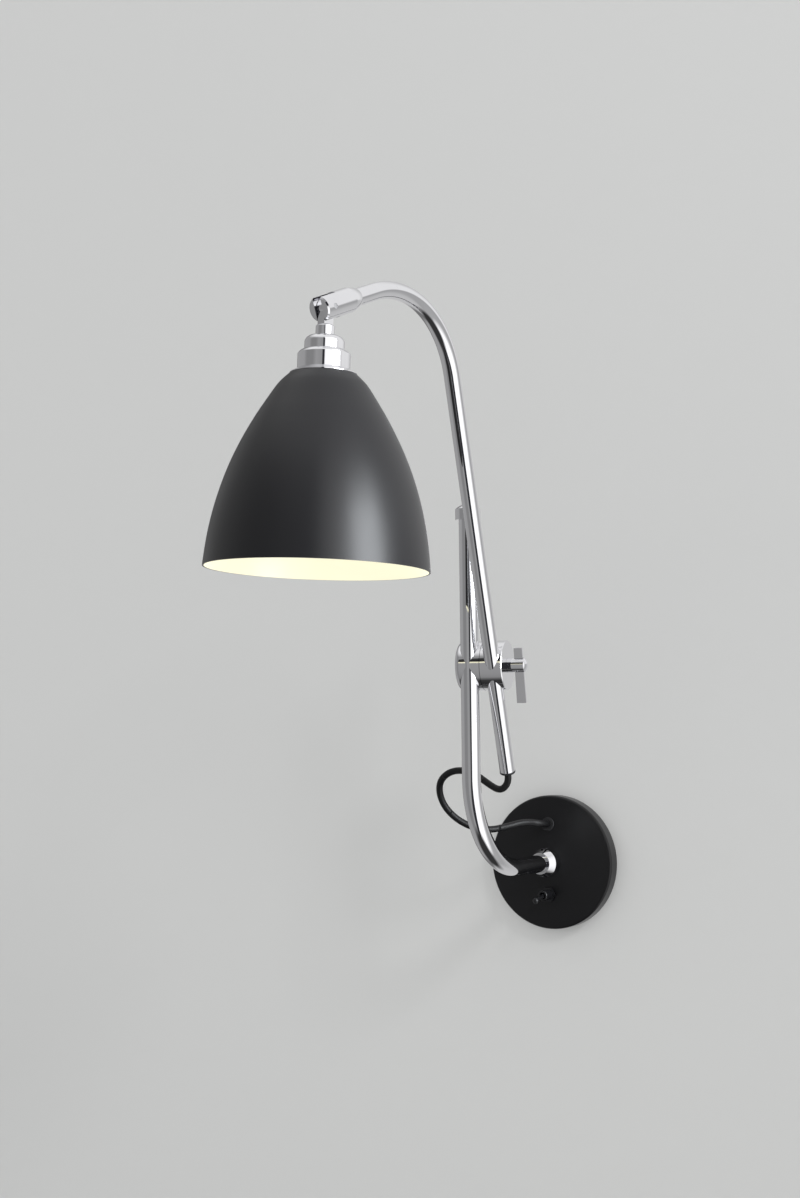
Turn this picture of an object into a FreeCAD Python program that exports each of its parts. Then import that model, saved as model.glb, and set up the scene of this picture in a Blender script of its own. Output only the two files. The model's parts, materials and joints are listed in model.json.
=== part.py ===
import FreeCAD, Part
import itertools
import math
import os
import Sketcher
from FreeCAD import Placement, Rotation, Vector

# Articulating wall lamp, in millimetres.
# World frame: origin at the centre of the wall plate's back face, on the wall.
# +X runs right along the wall, +Y runs into the wall, +Z is up.

doc = FreeCAD.newDocument("WallLamp")
sheet = doc.addObject("Spreadsheet::Sheet", "Sizes")

# Driving dimensions: alias, value, what it is.
SIZES = [
    ("plate_d", 117.0, "wall plate diameter"),
    ("plate_rim", 12.5, "height of the plate's front edge above the wall"),
    ("plate_crown", 5.0, "rise of the plate's domed face at its middle"),
    ("plate_wall", 1.5, "wall plate sheet thickness"),
    ("plate_edge", 2.5, "radius of the plate's front edge"),
    ("bracket_len", 94.0, "wall bracket length"),
    ("bracket_wid", 22.0, "wall bracket width"),
    ("bracket_thk", 2.0, "wall bracket thickness"),
    ("bracket_tab", 27.0, "height of the bracket's upper tab above the middle"),
    ("screw_spacing", 60.0, "distance between the two wall screw slots"),
    ("slot_wid", 4.6, "wall screw slot width"),
    ("slot_len", 10.0, "wall screw slot length, end to end"),
    ("bush_d", 17.6, "entry bush thread diameter"),
    ("bush_flange_d", 28.0, "entry bush flange diameter"),
    ("bush_flange_thk", 2.5, "entry bush flange thickness"),
    ("bush_spigot_d", 12.0, "spigot riveted into the bracket"),
    ("tube_insert", 6.0, "height where the upright tube seats in the bush"),
    ("nut_hex", 24.0, "hexagon across corners of the nut behind the plate"),
    ("nut_thk", 4.0, "thickness of the nut behind the plate"),
    ("collar_d", 25.0, "chrome collar diameter"),
    ("collar_len", 9.0, "length of the collar's plain part"),
    ("collar_cone", 6.5, "length of the collar's cone"),
    ("collar_nose", 18.7, "diameter at the collar's nose"),
    ("collar_notch", 2.4, "width of the collar's two spanner notches"),
    ("grub_d", 4.0, "grub screw diameter"),
    ("grub_height", 8.6, "height of the grub screw above the wall"),
    ("fit_gap", 0.05, "clearance all round of a seated or turning fit"),
    ("cord_d", 5.8, "cord diameter"),
    ("cord_hole_up", 33.4, "cord entry above the plate's middle"),
    ("cord_hole_d", 9.6, "hole in the plate for the cord grommet"),
    ("grommet_lip", 1.2, "grommet lip height and overhang"),
    ("switch_down", 28.0, "switch below the plate's middle"),
    ("switch_bush_d", 9.0, "switch neck diameter"),
    ("switch_neck", 29.0, "height of the switch neck's end above the wall"),
    ("switch_mouth", 5.8, "bore of the switch neck round the lever ball"),
    ("switch_box_wid", 14.0, "switch body width"),
    ("switch_box_hgt", 20.0, "switch body height"),
    ("switch_box_low", 3.0, "switch body's back above the wall"),
    ("switch_box_top", 13.5, "switch body's front above the wall"),
    ("switch_nut_d", 14.0, "switch nut across corners"),
    ("switch_nut_thk", 2.0, "switch nut thickness"),
    ("lever_pivot", 25.5, "height of the lever's pivot above the wall"),
    ("lever_ball", 5.2, "lever's pivot ball diameter"),
    ("lever_reach", 16.0, "pivot to the middle of the lever's tip"),
    ("lever_tip_d", 5.4, "lever's round tip diameter"),
    ("lever_waist_d", 3.2, "lever diameter next to its pivot ball"),
    ("lever_tilt", 12.0, "lever's tilt each side of the middle, degrees"),
    ("lever_pin_d", 1.4, "lever's pivot pin diameter"),
    ("block_len", 24.0, "terminal block length"),
    ("block_hgt", 11.0, "terminal block height"),
    ("block_thk", 9.0, "terminal block thickness"),
    ("block_pitch", 8.0, "distance between terminal screws"),
    ("stand_off", 153.5, "upright's distance from the wall"),
    ("upright_d", 15.4, "upright tube diameter"),
    ("upright_wall", 1.2, "upright tube wall"),
    ("upright_bend", 79.0, "upright tube bend radius"),
    ("upright_top", 298.0, "upright tube's top end above the plate's middle"),
    ("cap_d", 21.0, "upright end cap diameter"),
    ("cap_low", 290.5, "end cap's lower edge height"),
    ("cap_side", 9.0, "end cap's straight side"),
    ("cap_dome", 4.4, "end cap's dome height"),
    ("clamp_height", 170.1, "clamp axis height"),
    ("clamp_turn", 12.3, "clamp turned from straight out, degrees"),
    ("clamp_d", 41.4, "clamp barrel diameter"),
    ("clamp_left", 21.6, "length of the upright's half of the clamp"),
    ("clamp_right", 18.8, "length of the arm's half of the clamp"),
    ("clamp_round", 4.0, "rounding of the clamp's closed end"),
    ("clamp_edge", 0.6, "edge break at the clamp's other end"),
    ("seam_gap", 0.35, "gap between the clamp halves"),
    ("seam_washer_d", 24.0, "washer between the clamp halves"),
    ("tube_spacing", 20.0, "distance between the two tubes along the clamp"),
    ("upright_offset", 13.05, "upright's distance from the clamp axis"),
    ("arm_offset", 13.6, "arm's distance from the clamp axis"),
    ("pad_wall", 0.35, "thickness of the two friction pads in the clamp"),
    ("pad_len", 3.0, "length of the two friction pads in the clamp"),
    ("pad_start", 5.7, "distance from a tube's axis to where its friction pad starts"),
    ("screw_d", 6.0, "clamp screw diameter"),
    ("screw_len", 18.0, "clamp screw's length in the closed half"),
    ("knob_d", 12.0, "clamp screw's head diameter"),
    ("knob_side", 13.6, "length of the screw head's straight side"),
    ("knob_dome", 2.3, "height of the screw head's dome"),
    ("knob_washer", 0.8, "thickness of the washer under the screw head"),
    ("key_place", 9.7, "tightening bar's middle from the clamp's face"),
    ("key_wid_top", 7.0, "tightening bar width at its short end"),
    ("key_wid_low", 7.9, "tightening bar width at its long end"),
    ("key_thk", 3.0, "tightening bar thickness"),
    ("key_up", 14.3, "tightening bar above the screw"),
    ("key_down", 31.5, "tightening bar below the screw"),
    ("key_turn", 12.8, "tightening bar turned from upright, degrees"),
    ("arm_lean", 24.8, "arm's lean from upright, degrees"),
    ("arm_twist", 19.2, "arm turned about its own axis, degrees"),
    ("arm_d", 13.0, "arm tube diameter"),
    ("arm_wall", 1.0, "arm tube wall"),
    ("arm_below", 89.6, "arm below the clamp"),
    ("arm_above", 250.5, "arm above the clamp to its bend"),
    ("arm_bend", 86.0, "arm bend radius"),
    ("arm_sweep", 87.4, "arm bend angle, degrees"),
    ("arm_tail", 20.8, "arm's straight run after the bend, to the knuckle"),
    ("arm_insert", 15.0, "arm tube's depth in the knuckle"),
    ("arm_bush_lip", 2.2, "arm end bush's lip length"),
    ("arm_bush_in", 9.0, "arm end bush's length in the tube"),
    ("knuckle_d", 18.5, "knuckle barrel diameter"),
    ("knuckle_len", 42.5, "knuckle length with its rear cone"),
    ("knuckle_cone", 9.5, "length of the cone behind the barrel"),
    ("knuckle_cone_d", 13.9, "diameter of the cone's rear end"),
    ("knuckle_slot", 7.2, "width of the slot for the tongue"),
    ("slot_depth", 17.5, "depth of the slot for the tongue"),
    ("pin_in", 8.2, "hinge pin's distance from the barrel's face"),
    ("pin_d", 4.0, "hinge pin diameter"),
    ("tongue_thk", 6.4, "tongue thickness"),
    ("tongue_head", 12.0, "tongue's round head diameter"),
    ("tongue_wid", 9.6, "tongue's stem width"),
    ("shank_d", 9.4, "hollow shank below the tongue"),
    ("shank_bore", 6.4, "wire way through the shank"),
    ("neck_top", 12.8, "hinge pin to the top of the neck"),
    ("neck_len", 7.9, "neck length"),
    ("neck_d", 13.7, "neck diameter"),
    ("holder_cap_d", 28.8, "holder cap diameter"),
    ("holder_cap_len", 10.1, "holder cap height"),
    ("holder_wall", 1.2, "wall of the holder's cap and skirt"),
    ("skirt_d", 37.9, "holder skirt diameter"),
    ("skirt_len", 14.0, "holder skirt height"),
    ("ring_d", 48.0, "shade ring diameter"),
    ("ring_len", 3.4, "shade ring height"),
    ("holder_d", 34.6, "threaded holder barrel diameter"),
    ("holder_len", 22.0, "holder barrel's length below the shade"),
    ("holder_bore", 27.8, "holder bore for the bulb cap"),
    ("shade_d", 160.0, "shade diameter at the lip"),
    ("shade_hip_d", 73.0, "shade diameter where shoulder meets bell"),
    ("shade_hip", 123.3, "height of that place above the lip"),
    ("shade_crown_d", 47.6, "shade diameter at its shoulder's top"),
    ("shade_height", 138.6, "shade height"),
    ("shade_shoulder_bulge", 1.2, "bulge of the shoulder's arc"),
    ("shade_bell_bulge", 9.0, "bulge of the bell's arc"),
    ("shade_wall", 1.2, "shade wall"),
    ("bulb_d", 60.0, "bulb diameter"),
    ("bulb_len", 108.0, "bulb length with its cap"),
    ("bulb_cap_d", 26.4, "bulb cap diameter"),
    ("bulb_cap_len", 24.0, "bulb cap length"),
    ("bulb_wall", 1.2, "bulb glass thickness"),
]

for row, (alias, value, note) in enumerate(SIZES, start=1):
    sheet.set(f"A{row}", note)
    sheet.set(f"B{row}", str(value))
    sheet.setAlias(f"B{row}", alias)
doc.recompute()


class Size:
    """A number that carries the sheet formula it came from, so that a feature can be bound to it."""

    def __init__(self, value, formula):
        self.value = value
        self.formula = formula

    @staticmethod
    def of(thing):
        return thing if isinstance(thing, Size) else Size(float(thing), f"{float(thing)}")

    def __add__(self, other):
        other = Size.of(other)
        return Size(self.value + other.value, f"({self.formula} + {other.formula})")

    def __radd__(self, other):
        return Size.of(other) + self

    def __sub__(self, other):
        other = Size.of(other)
        return Size(self.value - other.value, f"({self.formula} - {other.formula})")

    def __rsub__(self, other):
        return Size.of(other) - self

    def __mul__(self, other):
        other = Size.of(other)
        return Size(self.value * other.value, f"({self.formula} * {other.formula})")

    __rmul__ = __mul__

    def __truediv__(self, other):
        other = Size.of(other)
        return Size(self.value / other.value, f"({self.formula} / {other.formula})")

    def __neg__(self):
        return Size.of(0) - self

    def __float__(self):
        return self.value


def cosine(angle):
    return Size(math.cos(math.radians(float(angle))), f"cos({angle.formula} * 1 deg)")


def sine(angle):
    return Size(math.sin(math.radians(float(angle))), f"sin({angle.formula} * 1 deg)")


def root(size):
    return Size(math.sqrt(float(size)), f"sqrt({size.formula})")


class Sheet:
    """Reads a driving dimension by its alias: S.plate_d."""

    def __getattr__(self, alias):
        return Size(float(sheet.get(alias)), f"Sizes.{alias}")


S = Sheet()
subparts = []


# --- frames -----------------------------------------------------------------

def frame(origin, along, side):
    """A placement whose local Z runs along and whose local X is side, made square to it."""
    z_axis = Vector(along).normalize()
    x_axis = Vector(side) - z_axis * (Vector(side) * z_axis)
    x_axis.normalize()
    return Placement(Vector(origin), Rotation(x_axis, z_axis.cross(x_axis), z_axis, "ZXY"))


def turned_by(degrees, axis, vector):
    return Rotation(Vector(axis), degrees).multVec(Vector(vector))


UP = Vector(0, 0, 1)
OUT = Vector(0, -1, 0)
RIGHT = Vector(1, 0, 0)
wall_frame = frame(Vector(0, 0, 0), OUT, RIGHT)

# Clamp: its axis u runs through both halves, out is square to it, away from the wall.
clamp_out = turned_by(float(S.clamp_turn), UP, OUT)
clamp_axis = turned_by(float(S.clamp_turn), UP, RIGHT)
upright_at_clamp = Vector(0, -float(S.stand_off), float(S.clamp_height))
clamp_centre = (
    upright_at_clamp - clamp_out * float(S.upright_offset) + clamp_axis * float(S.tube_spacing / 2)
)
clamp_frame = frame(clamp_centre, clamp_axis, UP)

# Arm: it leans in the plane square to the clamp axis.
arm_axis = turned_by(float(S.arm_lean), clamp_axis, UP)
arm_out = turned_by(float(S.arm_lean), clamp_axis, clamp_out)
jaw_frame = frame(clamp_centre, clamp_axis, arm_axis)
arm_at_clamp = clamp_centre + clamp_axis * float(S.tube_spacing / 2) + arm_out * float(S.arm_offset)
arm_bend_side = turned_by(-float(S.arm_twist), arm_axis, arm_out)
arm_foot = arm_at_clamp - arm_axis * float(S.arm_below)
arm_frame = frame(arm_foot, arm_axis, arm_bend_side)

# Knuckle: at the end of the arm's bend.
sweep = math.radians(float(S.arm_sweep))
bend_start = arm_at_clamp + arm_axis * float(S.arm_above)
bend_end = (
    bend_start
    + arm_axis * (float(S.arm_bend) * math.sin(sweep))
    + arm_bend_side * (float(S.arm_bend) * (1 - math.cos(sweep)))
)
knuckle_axis = arm_axis * math.cos(sweep) + arm_bend_side * math.sin(sweep)
knuckle_rear = bend_end + knuckle_axis * float(S.arm_tail)
hinge_pin = knuckle_rear + knuckle_axis * float(S.knuckle_len - S.pin_in)

# Shade: its axis points up through the hinge pin, almost plumb.
SHADE_LEAN_X = 0.028
SHADE_LEAN_Y = 0.037
shade_axis = Vector(SHADE_LEAN_X, SHADE_LEAN_Y, 1).normalize()
pin_axis = shade_axis.cross(knuckle_axis).normalize()
knuckle_frame = frame(knuckle_rear, knuckle_axis, pin_axis)
head_frame = frame(hinge_pin, shade_axis, pin_axis)


# --- makers -----------------------------------------------------------------

def keep(made, label, placement):
    """Names a sub-part, puts it in place and adds it to what is written out."""
    made.Label = label
    made.Placement = placement
    subparts.append(made)
    return made


def bind(thing, **formulas):
    for name, size in formulas.items():
        thing.setExpression(name, Size.of(size).formula)


def rod(name, radius, height, base=(0, 0, 0), along=(0, 0, 1), spin=0):
    """A cylinder that starts at base and runs along a direction; spin turns where its seam is."""
    made = doc.addObject("Part::Cylinder", name)
    bind(made, Radius=radius, Height=height)
    turn = Rotation(Vector(0, 0, 1), Vector(along)).multiply(Rotation(Vector(0, 0, 1), spin))
    made.Placement = Placement(Vector(*[float(v) for v in base]), turn)
    return made


def block(name, size, low):
    """A box with its lowest corner at low."""
    made = doc.addObject("Part::Box", name)
    bind(made, Length=size[0], Width=size[1], Height=size[2])
    made.Placement = Placement(Vector(*[float(v) for v in low]), Rotation())
    return made


def hexagon(name, across, height, low=0):
    made = doc.addObject("Part::Prism", name)
    made.Polygon = 6
    bind(made, Circumradius=Size.of(across) / 2, Height=height)
    made.Placement = Placement(Vector(0, 0, float(low)), Rotation())
    return made


def joined(name, pieces):
    made = doc.addObject("Part::MultiFuse", name)
    made.Shapes = pieces
    return made


def cut(name, base, tools):
    made = doc.addObject("Part::Cut", name)
    made.Base = base
    made.Tool = tools[0] if len(tools) == 1 else joined(name + "_tools", tools)
    return made


def on_axis(sketch, edge, end, x, y):
    """Holds a sketch point at x, y, each bound to its formula."""
    for size, line, kind in ((x, -2, "DistanceX"), (y, -1, "DistanceY")):
        if abs(float(size)) < 1e-9:
            sketch.addConstraint(Sketcher.Constraint("PointOnObject", edge, end, line))
            continue
        index = sketch.addConstraint(
            Sketcher.Constraint(kind, -1, 1, edge, end, float(size))
        )
        sketch.setExpression(f"Constraints[{index}]", size.formula)


def sketch_outline(sketch, outline):
    """A closed outline of points (x, y) or (x, y, bulge): a bulge makes the edge that starts there
    an arc, with that rise over its chord, to the left of the way it runs."""
    places = [(Size.of(p[0]), Size.of(p[1])) for p in outline]
    first = 1
    edges = []
    for i, point in enumerate(outline):
        x0, y0 = places[i]
        x1, y1 = places[(i + 1) % len(places)]
        start = Vector(float(x0), float(y0), 0)
        stop = Vector(float(x1), float(y1), 0)
        if len(point) == 2:
            edges.append((sketch.addGeometry(Part.LineSegment(start, stop), False), first, None))
            continue
        bulge = Size.of(point[2])
        run = stop - start
        side = Vector(-run.y, run.x, 0).normalize()
        middle = (start + stop) * 0.5 + side * float(bulge)
        index = sketch.addGeometry(Part.Arc(start, middle, stop), False)
        starts_here = sketch.getPoint(index, 1).distanceToPoint(start) < 1e-6
        chord_squared = (x1 - x0) * (x1 - x0) + (y1 - y0) * (y1 - y0)
        rise = bulge if float(bulge) > 0 else -bulge
        radius = chord_squared / (8 * rise) + rise / 2
        edges.append((index, 1 if starts_here else 2, radius))
    for i, (index, begin, radius) in enumerate(edges):
        next_index, next_begin, _ = edges[(i + 1) % len(edges)]
        sketch.addConstraint(
            Sketcher.Constraint("Coincident", index, 3 - begin, next_index, next_begin)
        )
        on_axis(sketch, index, begin, *places[i])
    for index, begin, radius in edges:
        if radius is not None:
            number = sketch.addConstraint(Sketcher.Constraint("Radius", index, float(radius)))
            sketch.setExpression(f"Constraints[{number}]", radius.formula)


def plane_of(body, role):
    return next(f for f in body.Origin.OriginFeatures if f.Role == role)


def new_sketch(body, name, role):
    sketch = body.newObject("Sketcher::SketchObject", name)
    sketch.AttachmentSupport = [(plane_of(body, role), "")]
    sketch.MapMode = "FlatFace"
    return sketch


def turned(name, outline):
    """A lathe-turned piece: the outline of (radius, height) points goes once round the Z axis."""
    body = doc.addObject("PartDesign::Body", name)
    sketch = new_sketch(body, name + "_profile", "XZ_Plane")
    sketch_outline(sketch, outline)
    feature = body.newObject("PartDesign::Revolution", name + "_turned")
    feature.Profile = sketch
    feature.ReferenceAxis = (sketch, ["V_Axis"])
    feature.Angle = 360
    sketch.Visibility = False
    doc.recompute()
    return body


def plate_cut(name, outline, thickness):
    """A flat piece of sheet or bar: the outline in XY, its thickness centred on Z = 0."""
    body = doc.addObject("PartDesign::Body", name)
    sketch = new_sketch(body, name + "_profile", "XY_Plane")
    sketch_outline(sketch, outline)
    feature = body.newObject("PartDesign::Pad", name + "_pad")
    feature.Profile = sketch
    feature.Midplane = True
    bind(feature, Length=thickness)
    doc.recompute()
    return body


def bent(name, radius, bore, first, bend, angle, last):
    """A bent tube: up Z by first, round towards +X, then straight on by last."""
    body = doc.addObject("PartDesign::Body", name)
    path = new_sketch(body, name + "_path", "XZ_Plane")
    turn_x = bend * (1 - cosine(angle))
    turn_y = first + bend * sine(angle)
    end_x = turn_x + last * sine(angle)
    end_y = turn_y + last * cosine(angle)
    half = math.radians(float(angle)) / 2
    start = Vector(0, float(first), 0)
    middle = start + Vector(1 - math.cos(half), math.sin(half), 0) * float(bend)
    stop = Vector(float(turn_x), float(turn_y), 0)
    end = Vector(float(end_x), float(end_y), 0)
    run = path.addGeometry(Part.LineSegment(Vector(0, 0, 0), start), False)
    arc = path.addGeometry(Part.Arc(start, middle, stop), False)
    tail = path.addGeometry(Part.LineSegment(stop, end), False)
    at_start = 1 if path.getPoint(arc, 1).distanceToPoint(start) < 1e-6 else 2
    path.addConstraint(Sketcher.Constraint("Coincident", run, 1, -1, 1))
    path.addConstraint(Sketcher.Constraint("Coincident", run, 2, arc, at_start))
    path.addConstraint(Sketcher.Constraint("Coincident", arc, 3 - at_start, tail, 1))
    on_axis(path, run, 2, Size.of(0), first)
    on_axis(path, tail, 1, turn_x, turn_y)
    on_axis(path, tail, 2, end_x, end_y)
    number = path.addConstraint(Sketcher.Constraint("Radius", arc, float(bend)))
    path.setExpression(f"Constraints[{number}]", bend.formula)
    section = new_sketch(body, name + "_section", "XY_Plane")
    for size in (radius, bore):
        ring = section.addGeometry(Part.Circle(Vector(0, 0, 0), Vector(0, 0, 1), float(size)), False)
        section.addConstraint(Sketcher.Constraint("Coincident", ring, 3, -1, 1))
        number = section.addConstraint(Sketcher.Constraint("Radius", ring, float(size)))
        section.setExpression(f"Constraints[{number}]", size.formula)
    feature = body.newObject("PartDesign::AdditivePipe", name + "_pipe")
    feature.Profile = section
    feature.Spine = (path, ["Edge1", "Edge2", "Edge3"])
    doc.recompute()
    return body


def quarter(radius):
    """Rise of a quarter-turn edge radius over its chord."""
    return radius * (1 - cosine(Size.of(45)))


def rise(radius, start, stop):
    """Rise over its chord of an arc of a known radius between two outline points."""
    across = Size.of(stop[0]) - start[0]
    along = Size.of(stop[1]) - start[1]
    return radius - root(radius * radius - (across * across + along * along) / 4)


# --- wall plate and what is behind it ---------------------------------------

plate_r = S.plate_d / 2
face_r = plate_r - S.plate_edge
bush_r = S.bush_d / 2
gap = S.fit_gap


def plate_height(radius):
    """Height of the domed face at a radius."""
    share = Size.of(radius) / face_r
    return S.plate_rim + S.plate_crown * (1 - share * share)


plate_bore = bush_r + 2 * gap
dome_r = (face_r * face_r + S.plate_crown * S.plate_crown) / (2 * S.plate_crown)
dome_start = (face_r, S.plate_rim)
dome_stop = (plate_bore, plate_height(plate_bore))
dome_rise = rise(dome_r, dome_start, dome_stop)
inner_edge = S.plate_edge - S.plate_wall
plate_shell = turned("plate_shell", [
    (plate_r - S.plate_wall, 0),
    (plate_r, 0),
    (plate_r, S.plate_rim - S.plate_edge, -quarter(S.plate_edge)),
    (face_r, S.plate_rim, -dome_rise),
    dome_stop,
    (plate_bore, dome_stop[1] - S.plate_wall, dome_rise),
    (face_r, S.plate_rim - S.plate_wall, quarter(inner_edge)),
    (plate_r - S.plate_wall, S.plate_rim - S.plate_edge),
])

# The cord leaves square to the sloping face.
cord_slope = math.degrees(math.atan(
    2 * float(S.plate_crown) * float(S.cord_hole_up) / float(face_r) ** 2
))
cord_exit = Placement(
    Vector(0, float(S.cord_hole_up), float(plate_height(S.cord_hole_up))),
    Rotation(Vector(1, 0, 0), -cord_slope),
)
cord_hole = rod("cord_hole", S.cord_hole_d / 2, 10)
cord_hole.Placement = cord_exit.multiply(Placement(Vector(0, 0, -5), Rotation()))
switch_hole = rod(
    "switch_hole", S.switch_bush_d / 2 + 2 * gap, 12, (0, -S.switch_down, 10)
)
keep(cut("plate_part", plate_shell, [cord_hole, switch_hole]), "wall_plate", wall_frame)

strap = block(
    "strap",
    (S.bracket_len, S.bracket_wid, S.bracket_thk),
    (-S.bracket_len / 2, -S.bracket_wid / 2, 0),
)
tab = block(
    "tab",
    (S.block_len, S.bracket_tab - S.bracket_wid / 2, S.bracket_thk),
    (-S.block_len / 2, S.bracket_wid / 2, 0),
)
strap_tools = [rod("strap_bore", S.bush_spigot_d / 2, 6, (0, 0, -2))]
for side in (-1, 1):
    middle = side * S.screw_spacing / 2
    straight = S.slot_len - S.slot_wid
    strap_tools.append(block(
        f"slot_{side + 1}",
        (straight, S.slot_wid, 6),
        (middle - straight / 2, -S.slot_wid / 2, -2),
    ))
    for end in (-1, 1):
        strap_tools.append(rod(
            f"slot_end_{side + 1}_{end + 1}", S.slot_wid / 2, 6, (middle + end * straight / 2, 0, -2)
        ))
keep(
    cut("bracket_part", joined("bracket_blank", [strap, tab]), strap_tools),
    "mounting_bracket",
    wall_frame,
)

bush_top = plate_height(bush_r) + S.collar_len + S.collar_cone - 3
seat_r = S.upright_d / 2
bush = turned("bush", [
    (0, 0),
    (S.bush_spigot_d / 2, 0),
    (S.bush_spigot_d / 2, S.bracket_thk),
    (S.bush_flange_d / 2, S.bracket_thk),
    (S.bush_flange_d / 2, S.bracket_thk + S.bush_flange_thk),
    (bush_r, S.bracket_thk + S.bush_flange_thk),
    (bush_r, bush_top),
    (seat_r, bush_top),
    (seat_r, S.tube_insert),
    (0, S.tube_insert),
])
grub_hole = rod("grub_hole", S.grub_d / 2, 8, (4, 0, S.grub_height), (1, 0, 0))
keep(cut("bush_part", bush, [grub_hole]), "entry_bush", wall_frame)
keep(
    rod("grub", S.grub_d / 2, 3.6, (seat_r, 0, S.grub_height), (1, 0, 0)),
    "tube_grub_screw",
    wall_frame.multiply(
        Placement(Vector(float(seat_r), 0, float(S.grub_height)), Rotation(Vector(0, 0, 1), Vector(1, 0, 0)))
    ),
)

nut_top = plate_height(S.nut_hex / 2) - S.plate_wall
nut_blank = hexagon("nut_blank", S.nut_hex, S.nut_thk, nut_top - S.nut_thk)
nut_bore = rod("nut_bore", bush_r, 20, (0, 0, 2))
keep(cut("nut_part", nut_blank, [nut_bore]), "inner_nut", wall_frame)

collar_low = dome_stop[1]
collar_top = collar_low + S.collar_len + S.collar_cone
collar = turned("collar", [
    (bush_r + gap, collar_low),
    (S.collar_d / 2, collar_low),
    (S.collar_d / 2, collar_low + S.collar_len),
    (S.collar_nose / 2, collar_top),
    (seat_r + gap, collar_top),
    (seat_r + gap, bush_top + gap),
    (bush_r + gap, bush_top + gap),
])
notches = [
    block(
        f"notch_{side + 1}",
        (S.collar_notch, 3, S.collar_len + 4),
        (-S.collar_notch / 2, side * (S.collar_d / 2) - 1.5, collar_low + 1.2),
    )
    for side in (-1, 1)
]
keep(cut("collar_part", collar, notches), "collar_nut", wall_frame)

cord_r = S.cord_d / 2
neck_r = S.cord_hole_d / 2
lip = S.grommet_lip
keep(
    turned("grommet", [
        (cord_r + gap, -S.plate_wall - lip),
        (neck_r + lip, -S.plate_wall - lip),
        (neck_r + lip, -S.plate_wall - gap),
        (neck_r, -S.plate_wall - gap),
        (neck_r, gap),
        (neck_r + lip, gap),
        (neck_r + lip, lip / 2, -quarter(lip / 2)),
        (neck_r + lip / 2, lip),
        (cord_r + gap, lip),
    ]),
    "cord_grommet",
    wall_frame.multiply(cord_exit),
)
tail_len = S.plate_wall + 3 * lip + 4
keep(
    rod("tail", cord_r, tail_len),
    "cord_tail",
    wall_frame.multiply(cord_exit).multiply(Placement(Vector(0, 0, float(lip - tail_len)), Rotation())),
)

# --- switch -------------------------------------------------------------------

switch_frame = wall_frame.multiply(Placement(Vector(0, -float(S.switch_down), 0), Rotation()))
keep(
    block(
        "switch_box",
        (S.switch_box_wid, S.switch_box_hgt, S.switch_box_top - S.switch_box_low),
        (-S.switch_box_wid / 2, -S.switch_box_hgt / 2, S.switch_box_low),
    ),
    "switch_body",
    switch_frame.multiply(Placement(
        Vector(-float(S.switch_box_wid) / 2, -float(S.switch_box_hgt) / 2, float(S.switch_box_low)),
        Rotation(),
    )),
)
neck_blank = turned("switch_neck_blank", [
    (0, S.switch_box_top),
    (S.switch_bush_d / 2, S.switch_box_top),
    (S.switch_bush_d / 2, S.switch_neck - 0.5),
    (S.switch_bush_d / 2 - 0.5, S.switch_neck),
    (S.switch_mouth / 2, S.switch_neck),
    (S.switch_mouth / 2, S.lever_pivot - S.lever_ball / 2 - 0.6),
    (0, S.lever_pivot - S.lever_ball / 2 - 0.6),
])
neck_pin_hole = rod(
    "neck_pin_hole",
    S.lever_pin_d / 2,
    S.switch_bush_d - 1,
    (-S.switch_bush_d / 2 + 0.5, 0, S.lever_pivot),
    (1, 0, 0),
)
keep(cut("neck_part", neck_blank, [neck_pin_hole]), "switch_bush", switch_frame)
keep(
    rod("lever_pin", S.lever_pin_d / 2, S.switch_bush_d - 1),
    "switch_pivot_pin",
    switch_frame.multiply(Placement(
        Vector(-float(S.switch_bush_d) / 2 + 0.5, 0, float(S.lever_pivot)),
        Rotation(Vector(0, 0, 1), Vector(1, 0, 0)),
    )),
)
switch_nut_low = plate_height(S.switch_down - S.switch_nut_d / 2)
switch_nut_blank = hexagon("switch_nut_blank", S.switch_nut_d, S.switch_nut_thk, switch_nut_low)
switch_nut_bore = rod("switch_nut_bore", S.switch_bush_d / 2, 20, (0, 0, 10))
keep(cut("switch_nut_part", switch_nut_blank, [switch_nut_bore]), "switch_nut", switch_frame)

ball_r = S.lever_ball / 2
tip_r = S.lever_tip_d / 2
waist_r = S.lever_waist_d / 2
waist = (waist_r, root(ball_r * ball_r - waist_r * waist_r))
tip_join = (tip_r * 0.8, S.lever_reach - tip_r * 0.6)
lever_blank = turned("lever_blank", [
    (0, -ball_r, -quarter(ball_r)),
    (ball_r, 0, -rise(ball_r, (ball_r, 0), waist)),
    waist,
    (tip_join[0], tip_join[1], -rise(tip_r, tip_join, (tip_r, S.lever_reach))),
    (tip_r, S.lever_reach, -quarter(tip_r)),
    (0, S.lever_reach + tip_r),
])
lever_hole = rod("lever_hole", S.lever_pin_d / 2 + gap, 12, (-6, 0, 0), (1, 0, 0))
lever_frame = switch_frame.multiply(Placement(
    Vector(0, 0, float(S.lever_pivot)), Rotation(Vector(1, 0, 0), float(S.lever_tilt))
))
keep(cut("lever_part", lever_blank, [lever_hole]), "switch_lever", lever_frame)

# --- terminals ----------------------------------------------------------------

block_low = S.bracket_tab - S.block_hgt
block_blank = block(
    "block_blank",
    (S.block_len, S.block_hgt, S.block_thk),
    (-S.block_len / 2, block_low, S.bracket_thk),
)
block_tools, screws = [], []
screw_floor = S.bracket_thk + S.block_thk - 3
for i, column in enumerate((-1, 0, 1)):
    block_tools.append(rod(
        f"wire_way_{i}", 1.4, 40, (column * S.block_pitch, 0, S.bracket_thk + 3), (0, 1, 0)
    ))
    for j, row in enumerate((0.25, 0.75)):
        place = (column * S.block_pitch, block_low + row * S.block_hgt, screw_floor)
        block_tools.append(rod(f"screw_way_{i}{j}", 1.7, 8, place))
        screws.append(rod(f"screw_{i}{j}", 1.7, 2.2, place))
keep(cut("block_part", block_blank, block_tools), "terminal_block", wall_frame)
keep(joined("screws_part", screws), "terminal_screws", wall_frame)

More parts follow.
